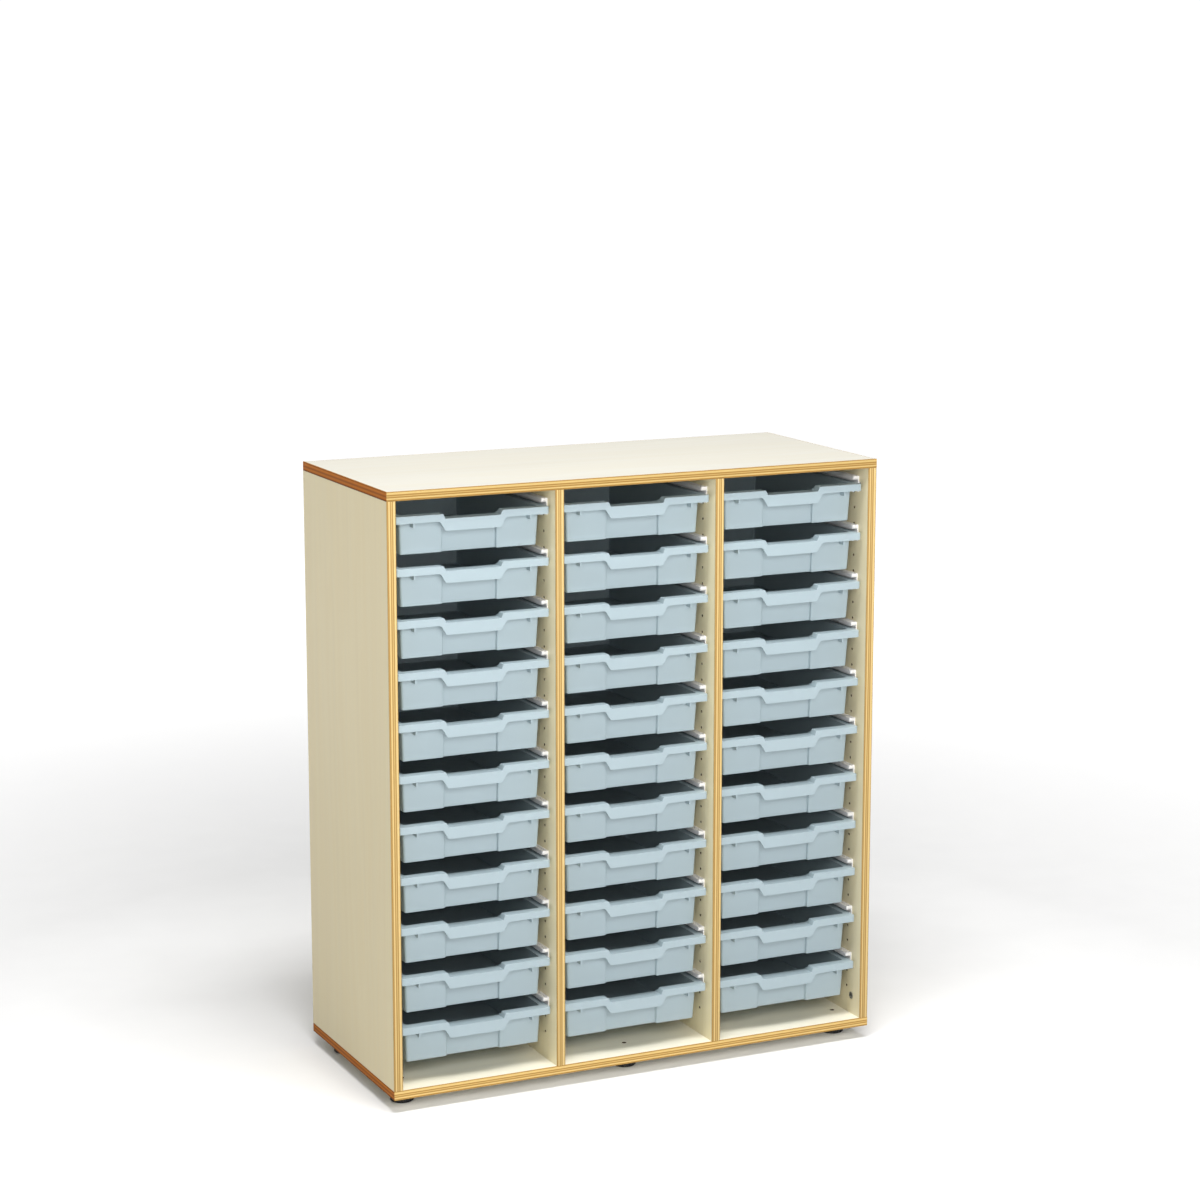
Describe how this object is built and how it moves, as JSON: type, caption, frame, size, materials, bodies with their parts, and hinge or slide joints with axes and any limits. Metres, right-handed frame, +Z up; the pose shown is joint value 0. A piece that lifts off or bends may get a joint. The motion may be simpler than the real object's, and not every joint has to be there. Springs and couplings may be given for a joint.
{
  "type": "classroom tray storage unit",
  "caption": "Free-standing open-front storage unit of faced board with shallow plastic trays that slide out on side runners, on low levelling feet.",
  "frame": {"origin": "centre of the footprint at floor level, under the levelling feet", "axes": "+Z up, the open front with the trays faces -Y, +X to the right as seen from the front"},
  "size_m": [1.035, 0.45, 1.194],
  "materials": {
    "board": "satin pale maple melamine face",
    "back_board": "satin pale maple melamine face",
    "edging": "satin ply-effect edging with lengthwise light and dark layers",
    "runner_plastic": "semi-matte white",
    "tray_plastic": "fine satin, pale grey-blue",
    "zinc": "zinc plated",
    "beech": "bare",
    "foot_plastic": "satin black"
  },
  "bodies": {
    "carcass": {"top_panel": "board", "base_panel": "board", "left_side_panel": "board", "right_side_panel": "board", "left_divider": "board", "right_divider": "board", "back_panel": "back_board", "top_edge_strips": "edging", "base_edge_strips": "edging", "upright_edge_strips": "edging", "left_bay_runners": "runner_plastic", "middle_bay_runners": "runner_plastic", "right_bay_runners": "runner_plastic", "runner_screws": "zinc", "back_panel_screws": "zinc", "cam_locks": "zinc", "cam_bolts": "zinc", "wooden_dowels": "beech", "foot_sockets": "zinc"},
    "front_centre_foot": {"front_centre_foot": "foot_plastic"},
    "front_left_foot": {"front_left_foot": "foot_plastic"},
    "front_right_foot": {"front_right_foot": "foot_plastic"},
    "rear_centre_foot": {"rear_centre_foot": "foot_plastic"},
    "rear_left_foot": {"rear_left_foot": "foot_plastic"},
    "rear_right_foot": {"rear_right_foot": "foot_plastic"},
    "tray_left_01": {"tray_left_01": "tray_plastic"},
    "tray_left_02": {"tray_left_02": "tray_plastic"},
    "tray_left_03": {"tray_left_03": "tray_plastic"},
    "tray_left_04": {"tray_left_04": "tray_plastic"},
    "tray_left_05": {"tray_left_05": "tray_plastic"},
    "tray_left_06": {"tray_left_06": "tray_plastic"},
    "tray_left_07": {"tray_left_07": "tray_plastic"},
    "tray_left_08": {"tray_left_08": "tray_plastic"},
    "tray_left_09": {"tray_left_09": "tray_plastic"},
    "tray_left_10": {"tray_left_10": "tray_plastic"},
    "tray_left_11": {"tray_left_11": "tray_plastic"},
    "tray_middle_01": {"tray_middle_01": "tray_plastic"},
    "tray_middle_02": {"tray_middle_02": "tray_plastic"},
    "tray_middle_03": {"tray_middle_03": "tray_plastic"},
    "tray_middle_04": {"tray_middle_04": "tray_plastic"},
    "tray_middle_05": {"tray_middle_05": "tray_plastic"},
    "tray_middle_06": {"tray_middle_06": "tray_plastic"},
    "tray_middle_07": {"tray_middle_07": "tray_plastic"},
    "tray_middle_08": {"tray_middle_08": "tray_plastic"},
    "tray_middle_09": {"tray_middle_09": "tray_plastic"},
    "tray_middle_10": {"tray_middle_10": "tray_plastic"},
    "tray_middle_11": {"tray_middle_11": "tray_plastic"},
    "tray_right_01": {"tray_right_01": "tray_plastic"},
    "tray_right_02": {"tray_right_02": "tray_plastic"},
    "tray_right_03": {"tray_right_03": "tray_plastic"},
    "tray_right_04": {"tray_right_04": "tray_plastic"},
    "tray_right_05": {"tray_right_05": "tray_plastic"},
    "tray_right_06": {"tray_right_06": "tray_plastic"},
    "tray_right_07": {"tray_right_07": "tray_plastic"},
    "tray_right_08": {"tray_right_08": "tray_plastic"},
    "tray_right_09": {"tray_right_09": "tray_plastic"},
    "tray_right_10": {"tray_right_10": "tray_plastic"},
    "tray_right_11": {"tray_right_11": "tray_plastic"}
  },
  "joints": [
    {"name": "front_centre_foot_height", "type": "slide", "parent": "carcass", "child": "front_centre_foot", "axis": [0, 0, -1], "range_m": [0, 0.01]},
    {"name": "front_left_foot_height", "type": "slide", "parent": "carcass", "child": "front_left_foot", "axis": [0, 0, -1], "range_m": [0, 0.01]},
    {"name": "front_right_foot_height", "type": "slide", "parent": "carcass", "child": "front_right_foot", "axis": [0, 0, -1], "range_m": [0, 0.01]},
    {"name": "rear_centre_foot_height", "type": "slide", "parent": "carcass", "child": "rear_centre_foot", "axis": [0, 0, -1], "range_m": [0, 0.01]},
    {"name": "rear_left_foot_height", "type": "slide", "parent": "carcass", "child": "rear_left_foot", "axis": [0, 0, -1], "range_m": [0, 0.01]},
    {"name": "rear_right_foot_height", "type": "slide", "parent": "carcass", "child": "rear_right_foot", "axis": [0, 0, -1], "range_m": [0, 0.01]},
    {"name": "tray_left_01_slide", "type": "slide", "parent": "carcass", "child": "tray_left_01", "axis": [0, -1, 0], "range_m": [0, 0.39]},
    {"name": "tray_left_02_slide", "type": "slide", "parent": "carcass", "child": "tray_left_02", "axis": [0, -1, 0], "range_m": [0, 0.39]},
    {"name": "tray_left_03_slide", "type": "slide", "parent": "carcass", "child": "tray_left_03", "axis": [0, -1, 0], "range_m": [0, 0.39]},
    {"name": "tray_left_04_slide", "type": "slide", "parent": "carcass", "child": "tray_left_04", "axis": [0, -1, 0], "range_m": [0, 0.39]},
    {"name": "tray_left_05_slide", "type": "slide", "parent": "carcass", "child": "tray_left_05", "axis": [0, -1, 0], "range_m": [0, 0.39]},
    {"name": "tray_left_06_slide", "type": "slide", "parent": "carcass", "child": "tray_left_06", "axis": [0, -1, 0], "range_m": [0, 0.39]},
    {"name": "tray_left_07_slide", "type": "slide", "parent": "carcass", "child": "tray_left_07", "axis": [0, -1, 0], "range_m": [0, 0.39]},
    {"name": "tray_left_08_slide", "type": "slide", "parent": "carcass", "child": "tray_left_08", "axis": [0, -1, 0], "range_m": [0, 0.39]},
    {"name": "tray_left_09_slide", "type": "slide", "parent": "carcass", "child": "tray_left_09", "axis": [0, -1, 0], "range_m": [0, 0.39]},
    {"name": "tray_left_10_slide", "type": "slide", "parent": "carcass", "child": "tray_left_10", "axis": [0, -1, 0], "range_m": [0, 0.39]},
    {"name": "tray_left_11_slide", "type": "slide", "parent": "carcass", "child": "tray_left_11", "axis": [0, -1, 0], "range_m": [0, 0.39]},
    {"name": "tray_middle_01_slide", "type": "slide", "parent": "carcass", "child": "tray_middle_01", "axis": [0, -1, 0], "range_m": [0, 0.39]},
    {"name": "tray_middle_02_slide", "type": "slide", "parent": "carcass", "child": "tray_middle_02", "axis": [0, -1, 0], "range_m": [0, 0.39]},
    {"name": "tray_middle_03_slide", "type": "slide", "parent": "carcass", "child": "tray_middle_03", "axis": [0, -1, 0], "range_m": [0, 0.39]},
    {"name": "tray_middle_04_slide", "type": "slide", "parent": "carcass", "child": "tray_middle_04", "axis": [0, -1, 0], "range_m": [0, 0.39]},
    {"name": "tray_middle_05_slide", "type": "slide", "parent": "carcass", "child": "tray_middle_05", "axis": [0, -1, 0], "range_m": [0, 0.39]},
    {"name": "tray_middle_06_slide", "type": "slide", "parent": "carcass", "child": "tray_middle_06", "axis": [0, -1, 0], "range_m": [0, 0.39]},
    {"name": "tray_middle_07_slide", "type": "slide", "parent": "carcass", "child": "tray_middle_07", "axis": [0, -1, 0], "range_m": [0, 0.39]},
    {"name": "tray_middle_08_slide", "type": "slide", "parent": "carcass", "child": "tray_middle_08", "axis": [0, -1, 0], "range_m": [0, 0.39]},
    {"name": "tray_middle_09_slide", "type": "slide", "parent": "carcass", "child": "tray_middle_09", "axis": [0, -1, 0], "range_m": [0, 0.39]},
    {"name": "tray_middle_10_slide", "type": "slide", "parent": "carcass", "child": "tray_middle_10", "axis": [0, -1, 0], "range_m": [0, 0.39]},
    {"name": "tray_middle_11_slide", "type": "slide", "parent": "carcass", "child": "tray_middle_11", "axis": [0, -1, 0], "range_m": [0, 0.39]},
    {"name": "tray_right_01_slide", "type": "slide", "parent": "carcass", "child": "tray_right_01", "axis": [0, -1, 0], "range_m": [0, 0.39]},
    {"name": "tray_right_02_slide", "type": "slide", "parent": "carcass", "child": "tray_right_02", "axis": [0, -1, 0], "range_m": [0, 0.39]},
    {"name": "tray_right_03_slide", "type": "slide", "parent": "carcass", "child": "tray_right_03", "axis": [0, -1, 0], "range_m": [0, 0.39]},
    {"name": "tray_right_04_slide", "type": "slide", "parent": "carcass", "child": "tray_right_04", "axis": [0, -1, 0], "range_m": [0, 0.39]},
    {"name": "tray_right_05_slide", "type": "slide", "parent": "carcass", "child": "tray_right_05", "axis": [0, -1, 0], "range_m": [0, 0.39]},
    {"name": "tray_right_06_slide", "type": "slide", "parent": "carcass", "child": "tray_right_06", "axis": [0, -1, 0], "range_m": [0, 0.39]},
    {"name": "tray_right_07_slide", "type": "slide", "parent": "carcass", "child": "tray_right_07", "axis": [0, -1, 0], "range_m": [0, 0.39]},
    {"name": "tray_right_08_slide", "type": "slide", "parent": "carcass", "child": "tray_right_08", "axis": [0, -1, 0], "range_m": [0, 0.39]},
    {"name": "tray_right_09_slide", "type": "slide", "parent": "carcass", "child": "tray_right_09", "axis": [0, -1, 0], "range_m": [0, 0.39]},
    {"name": "tray_right_10_slide", "type": "slide", "parent": "carcass", "child": "tray_right_10", "axis": [0, -1, 0], "range_m": [0, 0.39]},
    {"name": "tray_right_11_slide", "type": "slide", "parent": "carcass", "child": "tray_right_11", "axis": [0, -1, 0], "range_m": [0, 0.39]}
  ]
}
